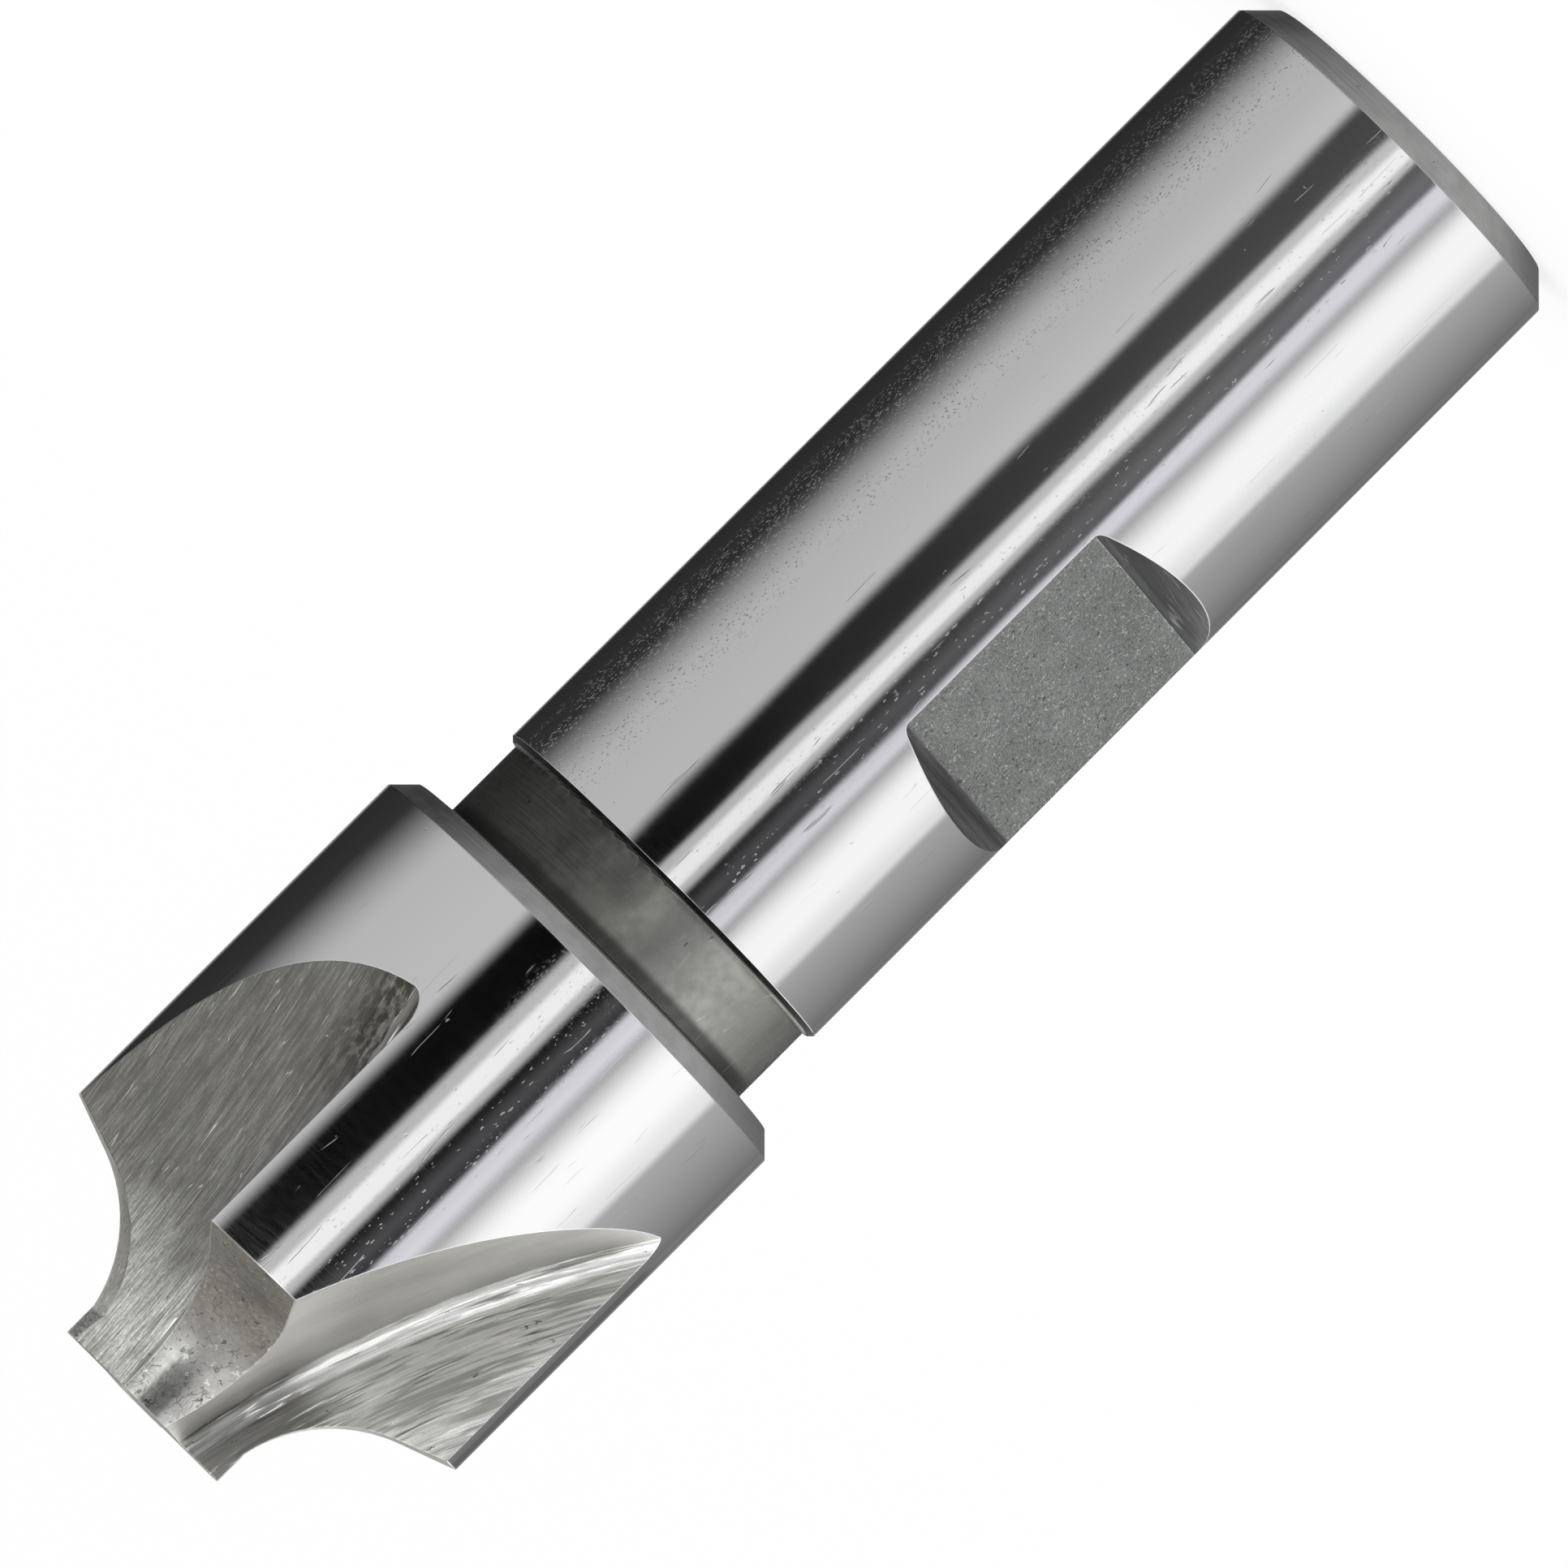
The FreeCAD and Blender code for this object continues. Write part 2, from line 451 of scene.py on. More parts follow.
def shifted(tree, place, by):
    """A place moved on, so that a pattern doesn't fall on another's marks."""
    return vector_math(tree, "ADD", place, by)


def turned_place(tree, place, rotation):
    """A place turned about the axes, so that a pattern runs another way."""
    node = tree.nodes.new("ShaderNodeMapping")
    node.inputs["Rotation"].default_value = rotation
    tree.links.new(place, node.inputs["Vector"])
    return node.outputs[0]


def toward(tree, place, bearing):
    """How far, in millimetres, a place lies out from the axis towards a bearing in degrees."""
    turn = math.radians(bearing)
    return vector_math(tree, "DOT_PRODUCT", place, (math.cos(turn), math.sin(turn), 0))


def mixed(tree, share, first, second):
    """A colour between two, each a socket or plain red, green and blue."""
    node = tree.nodes.new("ShaderNodeMix")
    node.data_type = "RGBA"
    give(tree, node.inputs[0], share)
    for socket, value in ((node.inputs[6], first), (node.inputs[7], second)):
        give(tree, socket, (*value, 1) if isinstance(value, tuple) else value)
    return node.outputs[2]


def coats(tree, colour, *layers):
    """A colour under others, each laid on through its mask at its strength."""
    for mask, strength, over in layers:
        colour = mixed(tree, times(tree, mask, strength), colour, over)
    return colour


def grey(level):
    return level, level, level


def dimmed(colour, share):
    return tuple(part * share for part in colour)


def noise(tree, place, detail):
    """Noise with one bump to a unit of the place."""
    node = tree.nodes.new("ShaderNodeTexNoise")
    node.inputs["Scale"].default_value = 1.0
    node.inputs["Roughness"].default_value = 0.55
    tree.links.new(place, node.inputs["Vector"])
    give(tree, node.inputs["Detail"], detail)
    return node.outputs


def cells(tree, place, feature="F1"):
    """A lattice of ragged cells, one to a unit of the place."""
    node = tree.nodes.new("ShaderNodeTexVoronoi")
    node.feature = feature
    node.inputs["Scale"].default_value = 1.0
    tree.links.new(place, node.inputs["Vector"])
    return node.outputs


def new_group(name, inputs, outputs):
    """A shader node group, empty but for its ends. An input has a default, which is a number or
    a vector, and an output has a kind."""
    group = bpy.data.node_groups.new(name, "ShaderNodeTree")
    for title, default in inputs.items():
        kind = VECTOR if isinstance(default, tuple) else NUMBER
        socket = group.interface.new_socket(title, in_out="INPUT", socket_type=kind)
        socket.default_value = default
    for title, kind in outputs.items():
        group.interface.new_socket(title, in_out="OUTPUT", socket_type=kind)
    start = group.nodes.new("NodeGroupInput")
    end = group.nodes.new("NodeGroupOutput")
    return group, start.outputs, end.inputs


def use_group(tree, group, **settings):
    """Place a group and set or link its inputs. Underscores stand for spaces in their names."""
    node = tree.nodes.new("ShaderNodeGroup")
    node.node_tree = group
    for title, value in settings.items():
        give(tree, node.inputs[title.replace("_", " ")], value)
    return node.outputs


def bare_material(name):
    """A material without a shader: itself and its node tree."""
    material = bpy.data.materials.new(name)
    material.use_nodes = True
    material.node_tree.nodes.clear()
    return material, material.node_tree


def set_surface(tree, shader):
    end = tree.nodes.new("ShaderNodeOutputMaterial")
    tree.links.new(shader.outputs[0], end.inputs["Surface"])


# Camera and studio

CAMERA_DISTANCE = 1.540
CAMERA_RISE = math.radians(2.9)
CAMERA_AIM = Vector((-0.80, 0.0, 53.65)) * MM
CAMERA_LENS = 592.3
CAMERA_SENSOR = 36.0

# The cards of the light tent. Bearings are seen from the tool, in degrees from the camera
# towards the photograph's lower right. Start, end, softness of both sides, level at both ends.
# The left window has no start here, because its start leans.
LEFT_WINDOW = (-27, 46, 9, 0.64, 0.76)
LIGHT_CARDS = [
    ("dim corner", -176, -96, 20, 30, 0.02, 0.05),
    ("lens ring", -10, 13, 4, 4, 0.72, 0.68),
    ("lens ring core", -3, 8, 3, 2.5, 0.58, 0.58),
    ("grey between the cards", 12, 30, 10, 10, 0.08, 0.12),
    ("small bright strip", 26, 42, 4, 8, 1, 0.95),
    ("right window", 31, 91, 22, 6, 1.5, 0.5),
    ("right window core", 46, 84, 14, 18, 0.45, 0.35),
    ("right wall", 56, 164, 34, 10, 0.78, 0.12),
    ("far wall", 146, 180, 24, 1, 0.16, 0.32),
    ("far wall other side", -180, -160, 1, 12, 0.4, 0.3),
]
LOW_HAZE = (-60, 40, 20, 12, 0.04, 0.17)
UPPER_CARDS = [
    ("upper window", 80, 178, 20, 14, 1.5, 1.3),
    ("upper wall", -196, 34, 8, 20, 0.5, 0.66),
]

# Heights in metres over which the haze comes in, the left window leans over from its lower to
# its upper start, and the upper cards come in
HAZE_HEIGHTS = (0.042, -0.03)
LEANING_HEIGHTS = (0.03, 0.07)
LEANING_STARTS = (-119.0, -130.0)
UPPER_HEIGHTS = (0.088, 0.106)

# Bearings over which the light turns a little cool and plain again
COOL_RISE = (14, 24)
COOL_FALL = (44, 36)
COOL_LIGHT = (0.95, 0.945, 1.0)

TENT_RADIUS = 0.5
TENT_BOTTOM = -0.45
TENT_TOP = 0.75
TENT_DARK = 0.003
FLOOR_SIZE = 40
FLOOR_WHITE = 0.97
FLOOR_GLOW = 0.8
LAMP_PLACE = Vector((-0.6, -0.6, 0.9))


def photo_camera():
    """The long lens of the photograph, a little on the tip side, turned so that the tip points
    to the lower left."""
    along = Vector((0, math.sin(CAMERA_RISE), math.cos(CAMERA_RISE)))
    back = Vector((0, -math.cos(CAMERA_RISE), math.sin(CAMERA_RISE)))
    right = (-Vector((1, 0, 0)) - along).normalized()
    up = (Vector((1, 0, 0)) - along).normalized()
    turn = Matrix((right, up, back)).transposed()
    data = bpy.data.cameras.new("photo_camera")
    data.lens = CAMERA_LENS
    data.sensor_width = CAMERA_SENSOR
    data.clip_start = 0.05
    data.clip_end = 200
    camera = bpy.data.objects.new("photo_camera", data)
    camera.matrix_world = Matrix.Translation(CAMERA_AIM + back * CAMERA_DISTANCE) @ turn.to_4x4()
    bpy.context.scene.collection.objects.link(camera)
    bpy.context.scene.camera = camera


def light_card_group():
    """How bright a card of the light tent is at a bearing: a level at each end and soft sides."""
    group, given, result = new_group("light_card", {
        "Bearing": 0.0, "Start": 0.0, "End": 10.0, "Start softness": 2.0, "End softness": 2.0,
        "Start level": 1.0, "End level": 1.0}, {"Level": NUMBER})
    start_out = number(group, "ADD", given["Start"], given["Start softness"])
    end_in = number(group, "SUBTRACT", given["End"], given["End softness"])
    rise = spread(group, given["Bearing"], given["Start"], start_out)
    fall = spread(group, given["Bearing"], end_in, given["End"], 1.0, 0.0)
    level = spread(group, given["Bearing"], given["Start"], given["End"], given["Start level"],
                   given["End level"], smooth=False)
    group.links.new(times(group, rise, fall, level), result["Level"])
    return group


def tent_material():
    """The inside of the light tent, which only the polished steel mirrors."""
    material, tree = bare_material("light_tent")
    place = tree.nodes.new("ShaderNodeTexCoord").outputs["Object"]
    parts = tree.nodes.new("ShaderNodeSeparateXYZ")
    tree.links.new(place, parts.inputs[0])
    side = times(tree, parts.outputs["X"], -1.0)
    front = times(tree, parts.outputs["Y"], -1.0)
    bearing = times(tree, number(tree, "ARCTAN2", side, front), 180 / math.pi)
    height = parts.outputs["Z"]
    card = light_card_group()

    def level(start, end, start_soft, end_soft, start_level, end_level):
        return use_group(tree, card, Bearing=bearing, Start=start, End=end,
                         Start_softness=start_soft, End_softness=end_soft,
                         Start_level=start_level, End_level=end_level)["Level"]

    low = spread(tree, height, *HAZE_HEIGHTS)
    above = spread(tree, height, *UPPER_HEIGHTS)
    leaning = spread(tree, height, *LEANING_HEIGHTS, *LEANING_STARTS)
    cards = [(low, level(*LOW_HAZE)), (level(leaning, *LEFT_WINDOW), 1.0)]
    cards += [(level(*values), 1.0) for _, *values in LIGHT_CARDS]
    cards += [(level(*values), above) for _, *values in UPPER_CARDS]
    cool = times(tree, spread(tree, bearing, *COOL_RISE), spread(tree, bearing, *COOL_FALL))
    glow = tree.nodes.new("ShaderNodeEmission")
    tree.links.new(mixed(tree, cool, (1, 1, 1), COOL_LIGHT), glow.inputs["Color"])
    tree.links.new(total(tree, TENT_DARK, *cards), glow.inputs["Strength"])
    set_surface(tree, glow)
    material.cycles.emission_sampling = "NONE"
    return material


def stage_object(name, mesh, material):
    """A piece of the studio, which isn't part of the tool."""
    data = bpy.data.meshes.new(name)
    mesh.to_mesh(data)
    mesh.free()
    data.materials.append(material)
    made = bpy.data.objects.new(name, data)
    bpy.context.scene.collection.objects.link(made)
    return made


def light_tent():
    """A round wall of light cards and dark gaps about the tool, out of the camera's sight."""
    mesh = bmesh.new()
    bmesh.ops.create_cone(mesh, cap_ends=False, segments=180, radius1=TENT_RADIUS,
                          radius2=TENT_RADIUS, depth=TENT_TOP - TENT_BOTTOM)
    bmesh.ops.translate(mesh, verts=mesh.verts, vec=(0, 0, (TENT_TOP + TENT_BOTTOM) / 2))
    tent = stage_object("light_tent", mesh, tent_material())
    tent.visible_camera = False
    tent.visible_diffuse = False
    tent.visible_transmission = False
    tent.visible_shadow = False


def floor_material():
    """A plain white floor that keeps a weak shadow of the tool."""
    material, tree = bare_material("floor")
    paint = tree.nodes.new("ShaderNodeBsdfDiffuse")
    paint.inputs["Color"].default_value = (*grey(FLOOR_WHITE), 1)
    white = tree.nodes.new("ShaderNodeEmission")
    rays = tree.nodes.new("ShaderNodeLightPath").outputs
    seen = number(tree, "MAXIMUM", rays["Is Camera Ray"], rays["Is Glossy Ray"])
    seen = number(tree, "MAXIMUM", seen, rays["Is Transmission Ray"])
    blend = tree.nodes.new("ShaderNodeMixShader")
    tree.links.new(times(tree, seen, FLOOR_GLOW), blend.inputs[0])
    tree.links.new(paint.outputs[0], blend.inputs[1])
    tree.links.new(white.outputs[0], blend.inputs[2])
    set_surface(tree, blend)
    return material


def floor():
    mesh = bmesh.new()
    bmesh.ops.create_grid(mesh, x_segments=1, y_segments=1, size=FLOOR_SIZE)
    stage_object("floor", mesh, floor_material()).visible_glossy = False


def studio():
    """Even white light from all round, one soft lamp, the floor and the light tent."""
    world = bpy.data.worlds.new("studio")
    world.use_nodes = True
    world.node_tree.nodes["Background"].inputs["Color"].default_value = (1, 1, 1, 1)
    world.node_tree.nodes["Background"].inputs["Strength"].default_value = 1.0
    bpy.context.scene.world = world
    data = bpy.data.lights.new("soft_lamp", "AREA")
    data.size = 0.8
    data.energy = 1.5
    lamp = bpy.data.objects.new("soft_lamp", data)
    lamp.visible_glossy = False
    aim = LAMP_PLACE.to_track_quat("Z", "Y").to_matrix().to_4x4()
    lamp.matrix_world = Matrix.Translation(LAMP_PLACE) @ aim
    bpy.context.scene.collection.objects.link(lamp)
    floor()
    light_tent()


# Effects that several finishes share

ORIGIN = (0, 0, 0)
EVEN = (1, 1, 1)


def tool_place_group():
    """Where a point of the tool is: in millimetres, its height, its distance from the axis and
    its bearing round the axis in degrees."""
    group, _, result = new_group("tool_place", {}, {
        "Place": VECTOR, "Height": NUMBER, "Reach": NUMBER, "Turn": NUMBER})
    place = group.nodes.new("ShaderNodeTexCoord").outputs["Object"]
    place = scaled(group, place, 1 / MM)
    parts = group.nodes.new("ShaderNodeSeparateXYZ")
    group.links.new(place, parts.inputs[0])
    flat = vector_math(group, "MULTIPLY", place, (1, 1, 0))
    turn = number(group, "ARCTAN2", parts.outputs["Y"], parts.outputs["X"])
    group.links.new(place, result["Place"])
    group.links.new(parts.outputs["Z"], result["Height"])
    group.links.new(vector_math(group, "LENGTH", flat), result["Reach"])
    group.links.new(times(group, turn, 180 / math.pi), result["Turn"])
    return group


# The first angle, in degrees, that belongs to a tooth, and how far the pattern of each tooth
# is moved on from the last one's, outwards and along the rim
TOOTH_START = -20
PATTERN_STEP = (11, 57)


def wheel_place_group():
    """A point of a flute as the fluting wheel met it: how far from the wheel's middle, how far
    to its side and how far along its rim, with each tooth's pattern moved on from the last."""
    group, _, result = new_group("wheel_place", {}, {
        "Place": VECTOR, "Reach": NUMBER, "Side": NUMBER, "Height": NUMBER})
    here = use_group(group, TOOL_PLACE)
    ahead = number(group, "ADD", here["Turn"], 360 - TOOTH_START - FIRST_TOOTH_ANGLE)
    local = number(group, "ADD", number(group, "MODULO", ahead, TOOTH_PITCH), TOOTH_START)
    tooth = number(group, "FLOOR", number(group, "DIVIDE", ahead, TOOTH_PITCH))
    angle = times(group, local, math.pi / 180)
    out = times(group, here["Reach"], number(group, "COSINE", angle))
    side = times(group, here["Reach"], number(group, "SINE", angle))
    inward = number(group, "SUBTRACT", WHEEL_CENTRE[0], out)
    down = number(group, "SUBTRACT", WHEEL_CENTRE[1], here["Height"])
    squares = number(group, "ADD", times(group, inward, inward), times(group, down, down))
    reach = number(group, "SQRT", squares)
    run = times(group, number(group, "ARCTAN2", down, inward), WHEEL_RADIUS)
    placed = group.nodes.new("ShaderNodeCombineXYZ")
    group.links.new(total(group, reach, (tooth, PATTERN_STEP[0])), placed.inputs[0])
    group.links.new(side, placed.inputs[1])
    group.links.new(total(group, run, (tooth, PATTERN_STEP[1])), placed.inputs[2])
    group.links.new(placed.outputs[0], result["Place"])
    group.links.new(reach, result["Reach"])
    group.links.new(side, result["Side"])
    group.links.new(here["Height"], result["Height"])
    return group


def grain_group():
    """Stretched noise between two limits: brushing, blotches or waves."""
    group, given, result = new_group("grain", {
        "Place": ORIGIN, "Stretch": EVEN, "Detail": 2.0, "Low": 0.35, "High": 0.65},
        {"Grain": NUMBER})
    place = vector_math(group, "MULTIPLY", given["Place"], given["Stretch"])
    value = noise(group, place, given["Detail"])[0]
    group.links.new(spread(group, value, given["Low"], given["High"]), result["Grain"])
    return group


def nicks_group():
    """Small ragged pits or specks, in a share of the cells of a stretched lattice."""
    group, given, result = new_group("nicks", {
        "Place": ORIGIN, "Stretch": EVEN, "Size": 0.2, "Share": 0.3, "Raggedness": 0.5},
        {"Nicks": NUMBER})
    place = vector_math(group, "MULTIPLY", given["Place"], given["Stretch"])
    ragged = noise(group, scaled(group, place, 3.1), 2.0)[1]
    shift = vector_math(group, "SUBTRACT", ragged, grey(0.5))
    amount = group.nodes.new("ShaderNodeCombineXYZ")
    for socket in amount.inputs:
        group.links.new(given["Raggedness"], socket)
    shift = vector_math(group, "MULTIPLY", shift, amount.outputs[0])
    lattice = cells(group, vector_math(group, "ADD", place, shift))
    chance = group.nodes.new("ShaderNodeSeparateColor")
    group.links.new(lattice["Color"], chance.inputs[0])
    chosen = number(group, "LESS_THAN", chance.outputs[0], given["Share"])
    size = times(group, given["Size"], chance.outputs[1])
    near = spread(group, lattice["Distance"], size, times(group, size, 0.5))
    group.links.new(times(group, near, chosen), result["Nicks"])
    return group


def scratches_group():
    """Thin wandering lines that come and go."""
    group, given, result = new_group("scratches", {
        "Place": ORIGIN, "Stretch": EVEN, "Width": 0.02, "Share": 0.4},
        {"Scratches": NUMBER})
    place = vector_math(group, "MULTIPLY", given["Place"], given["Stretch"])
    level = noise(group, place, 1.5)[0]
    offset = number(group, "ABSOLUTE", number(group, "SUBTRACT", level, 0.5))
    line = spread(group, offset, given["Width"], 0.0)
    gaps = noise(group, shifted(group, scaled(group, place, 1.7), (9, 4, 2)), 1.0)[0]
    limit = total(group, 0.72, (given["Share"], -0.4))
    kept = spread(group, gaps, limit, number(group, "ADD", limit, 0.06))
    group.links.new(times(group, line, kept), result["Scratches"])
    return group


def crackle_group():
    """A patchy net of fine cracks."""
    group, given, result = new_group("crackle", {
        "Place": ORIGIN, "Stretch": EVEN, "Width": 0.03}, {"Cracks": NUMBER})
    place = vector_math(group, "MULTIPLY", given["Place"], given["Stretch"])
    shift = vector_math(group, "SUBTRACT", noise(group, place, 3.0)[1], grey(0.5))
    place = vector_math(group, "ADD", place, scaled(group, shift, 0.9))
    line = spread(group, cells(group, place, "DISTANCE_TO_EDGE")["Distance"], given["Width"], 0.0)
    patch = spread(group, noise(group, scaled(group, place, 0.35), 1.0)[0], 0.5, 0.62)
    group.links.new(times(group, line, patch), result["Cracks"])
    return group


def edge_group():
    """Edges rounded within a width in millimetres: how near they are, and the rounded normal."""
    group, given, result = new_group("edge_line", {"Width": 0.12}, {
        "Edge": NUMBER, "Normal": VECTOR})
    rounded = group.nodes.new("ShaderNodeBevel")
    rounded.samples = 6
    group.links.new(times(group, given["Width"], MM), rounded.inputs["Radius"])
    facing = group.nodes.new("ShaderNodeNewGeometry").outputs["Normal"]
    same = vector_math(group, "DOT_PRODUCT", rounded.outputs[0], facing)
    group.links.new(spread(group, same, 0.995, 0.93), result["Edge"])
    group.links.new(rounded.outputs[0], result["Normal"])
    return group


TOOL_PLACE = tool_place_group()
WHEEL_PLACE = wheel_place_group()
GRAIN = grain_group()
NICKS = nicks_group()
SCRATCHES = scratches_group()
CRACKLE = crackle_group()
EDGE = edge_group()


def grain(tree, place, stretch, low, high, detail=2.0):
    node = use_group(tree, GRAIN, Place=place, Stretch=stretch, Detail=detail, Low=low, High=high)
    return node["Grain"]


def nicks(tree, place, stretch, size, share, raggedness=0.5):
    return use_group(tree, NICKS, Place=place, Stretch=stretch, Size=size, Share=share,
                     Raggedness=raggedness)["Nicks"]


def scratches(tree, place, stretch, width, share):
    return use_group(tree, SCRATCHES, Place=place, Stretch=stretch, Width=width,
                     Share=share)["Scratches"]


def crackle(tree, place, stretch, width):
    return use_group(tree, CRACKLE, Place=place, Stretch=stretch, Width=width)["Cracks"]


def edge_line(tree, width):
    """How near an edge is, and the normal of its rounding."""
    edge = use_group(tree, EDGE, Width=width)
    return edge["Edge"], edge["Normal"]


# Finishes. A stretch gives a pattern's bumps to a millimetre on every axis, the depth of a
# relief is in millimetres, and bearings round the axis are in degrees from +X.

UPPER_SIDE = 0
LOWER_SIDE = 180
HANDLED_SIDE = -39
CAMERA_SIDE = -96
LIT_CHAMFER_SIDE = -116
# Painted light: the neck is painted lighter towards this bearing.
LIT_NECK_SIDE = -124

# Heights over which a finish, a painted shade or a painted reflection changes. A pair that
# falls gives a share that falls with height.
SHANK_FRONT = (63.9, 63.45)
BEHIND_HEAD = (67.6, 68.2)
# Painted shade: the flat's wall towards the shank end is darkened below these heights.
PAINTED_SHADE_FLAT_WALL = (38.8, 38.6)
BESIDE_FLUTE = (79.0, 81.0)
FLOOR_END = (88.5, 82.0)
RAKE_END = (88.0, 83.0)
STAINED_RAKE = (97.0, 101.0)
# The flute floor turns paler towards the tip between these heights.
PALER_FLOOR_TIP = (97.5, 105.5)
TIP_LAND = (99.0, 105.0)
# Painted reflection: the dark band on the tip land lies between these heights.
DARK_LAND = (102.0, 104.5)


def new_steel(name):
    """A bare metal material: itself and its node tree."""
    material = bpy.data.materials.new(name)
    material.use_nodes = True
    tree = material.node_tree
    tree.nodes["Principled BSDF"].inputs["Metallic"].default_value = 1.0
    return material, tree


def finished(material, colour, roughness, height, depth, normal=None):
    """Link a steel's colour, roughness and relief, whose full depth is in millimetres."""
    tree = material.node_tree
    shader = tree.nodes["Principled BSDF"]
    tree.links.new(colour, shader.inputs["Base Color"])
    tree.links.new(roughness, shader.inputs["Roughness"])
    bump = tree.nodes.new("ShaderNodeBump")
    bump.inputs["Strength"].default_value = 1.0
    bump.inputs["Distance"].default_value = depth * MM
    tree.links.new(height, bump.inputs["Height"])
    if normal:
        tree.links.new(normal, bump.inputs["Normal"])
    tree.links.new(bump.outputs[0], shader.inputs["Normal"])
    return material


def ground_steel(name, radius, colour, roughness, handling, wave):
    """Cylindrically ground steel: nearly a mirror, with slow waves that make its reflections
    wander, a few nicks and hairlines, and fine specks on the side that was handled."""
    material, tree = new_steel(name)
    here = use_group(tree, TOOL_PLACE)
    place = here["Place"]
    polish = grain(tree, place, (0.8, 0.8, 11.0), 0.3, 0.7, 3.0)
    waves = grain(tree, place, (0.22, 0.22, 0.05), 0.2, 0.8, 1.0)
    wander = grain(tree, place, (0.6, 0.6, 0.15), 0.3, 0.55, 5.0)
    patches = grain(tree, place, (0.16, 0.16, 0.06), 0.5, 0.68, 4.0)
    handled = spread(tree, toward(tree, place, HANDLED_SIDE), 0.93 * radius, 0.98 * radius)
    handled = times(tree, handled, handling, wander)
    specks = nicks(tree, place, (6.6, 6.6, 4.0), 0.52, 0.9, 1.1)
    specks = times(tree, specks, number(tree, "MAXIMUM", times(tree, patches, 0.07), handled))
    front = spread(tree, toward(tree, place, CAMERA_SIDE), 0.98 * radius, 0.996 * radius)
    ticks = nicks(tree, shifted(tree, place, (4, 9, 2)), (5.0, 5.0, 2.0), 0.34, 0.4, 1.2)
    ticks = times(tree, ticks, front, wander)
    pits = nicks(tree, place, (0.9, 0.9, 0.5), 0.09, 0.22)
    hairlines = scratches(tree, place, (1.5, 1.5, 0.1), 0.012, 0.22)
    marks = number(tree, "MAXIMUM", pits, times(tree, hairlines, 0.45))
    edge, rounded = edge_line(tree, 0.12)
    # Painted shade: the rounded edges on the upper side are darkened almost to black.
    painted_shade_upper_edge = times(tree, edge, spread(tree, toward(tree, place, UPPER_SIDE), 1.0, 3.0))
    # Painted shade: a dark tint on the head's strip beside the lower flute.
    painted_shade_beside_flute = times(tree, spread(tree, toward(tree, place, LOWER_SIDE), 15.35, 15.55),
                         spread(tree, here["Height"], *BESIDE_FLUTE))
    shade = coats(
        tree, colour,
        (specks, 0.75, (0.2, 0.2, 0.215)),
        (marks, 0.6, grey(0.15)),
        # Painted highlight: the rounded edges are lightened.
        (edge, 0.25, grey(0.85)),
        (painted_shade_upper_edge, 0.9, grey(0.04)),
        (painted_shade_beside_flute, 0.75, (0.1, 0.1, 0.095)))
    rough = total(tree, roughness, (polish, 0.025), (specks, 0.1), (marks, 0.2))
    height = total(tree, 0.0, (waves, wave), (specks, 0.009), (ticks, 0.004), (marks, -0.006),
                   (polish, 0.0001))
    return finished(material, shade, rough, height, 1.0, rounded)


def turned_steel(name, colour, roughness, dull=0.55):
    """Turned, unground steel: matt, with fine rings round the axis, and painted light and shade:
    full colour on the lit side, dimmer on the far side.
    """
    material, tree = new_steel(name)
    place = use_group(tree, TOOL_PLACE)["Place"]
    rings = grain(tree, place, (0.25, 0.25, 9.0), 0.3, 0.7, 3.0)
    mottle = grain(tree, place, (0.7, 0.7, 0.7), 0.3, 0.75, 4.0)
    pits = nicks(tree, place, (1.4, 1.4, 1.4), 0.16, 0.35)
    # Painted light: the side towards this bearing keeps the full colour, and the far side only the
    # dull share of it.
    lit = spread(tree, toward(tree, place, LIT_CHAMFER_SIDE), 4.0, 14.5)
    edge, rounded = edge_line(tree, 0.1)
    shade = coats(
        tree, dimmed(colour, dull),
        (lit, 1.0, colour),
        (mottle, 0.3, dimmed(colour, 0.5)),
        (rings, 0.2, dimmed(colour, 1.2)),
        (pits, 0.6, grey(0.04)),
        # Painted highlight: the rounded edges are lightened.
        (edge, 0.85, grey(0.72)))
    rough = total(tree, roughness, (edge, -0.15), (mottle, 0.08))
    height = total(tree, 0.0, (rings, 0.004), (pits, -0.02))
    return finished(material, shade, rough, height, 1.0, rounded)


def front_edge_steel():
    """The shank's front edge, where grinding stopped against black scale, painted darker still as
    the shade in the step down to the neck.
    """
    material, tree = new_steel("front_edge")
    place = use_group(tree, TOOL_PLACE)["Place"]
    broken = grain(tree, place, (1.2, 1.2, 0.5), 0.35, 0.75, 3.0)
    # Painted shade: near-black colour in the step down to the neck.
    shade = coats(tree, grey(0.012), (broken, 0.25, grey(0.1)))
    rough = total(tree, 0.62, (broken, 0.1))
    return finished(material, shade, rough, broken, 0.001)


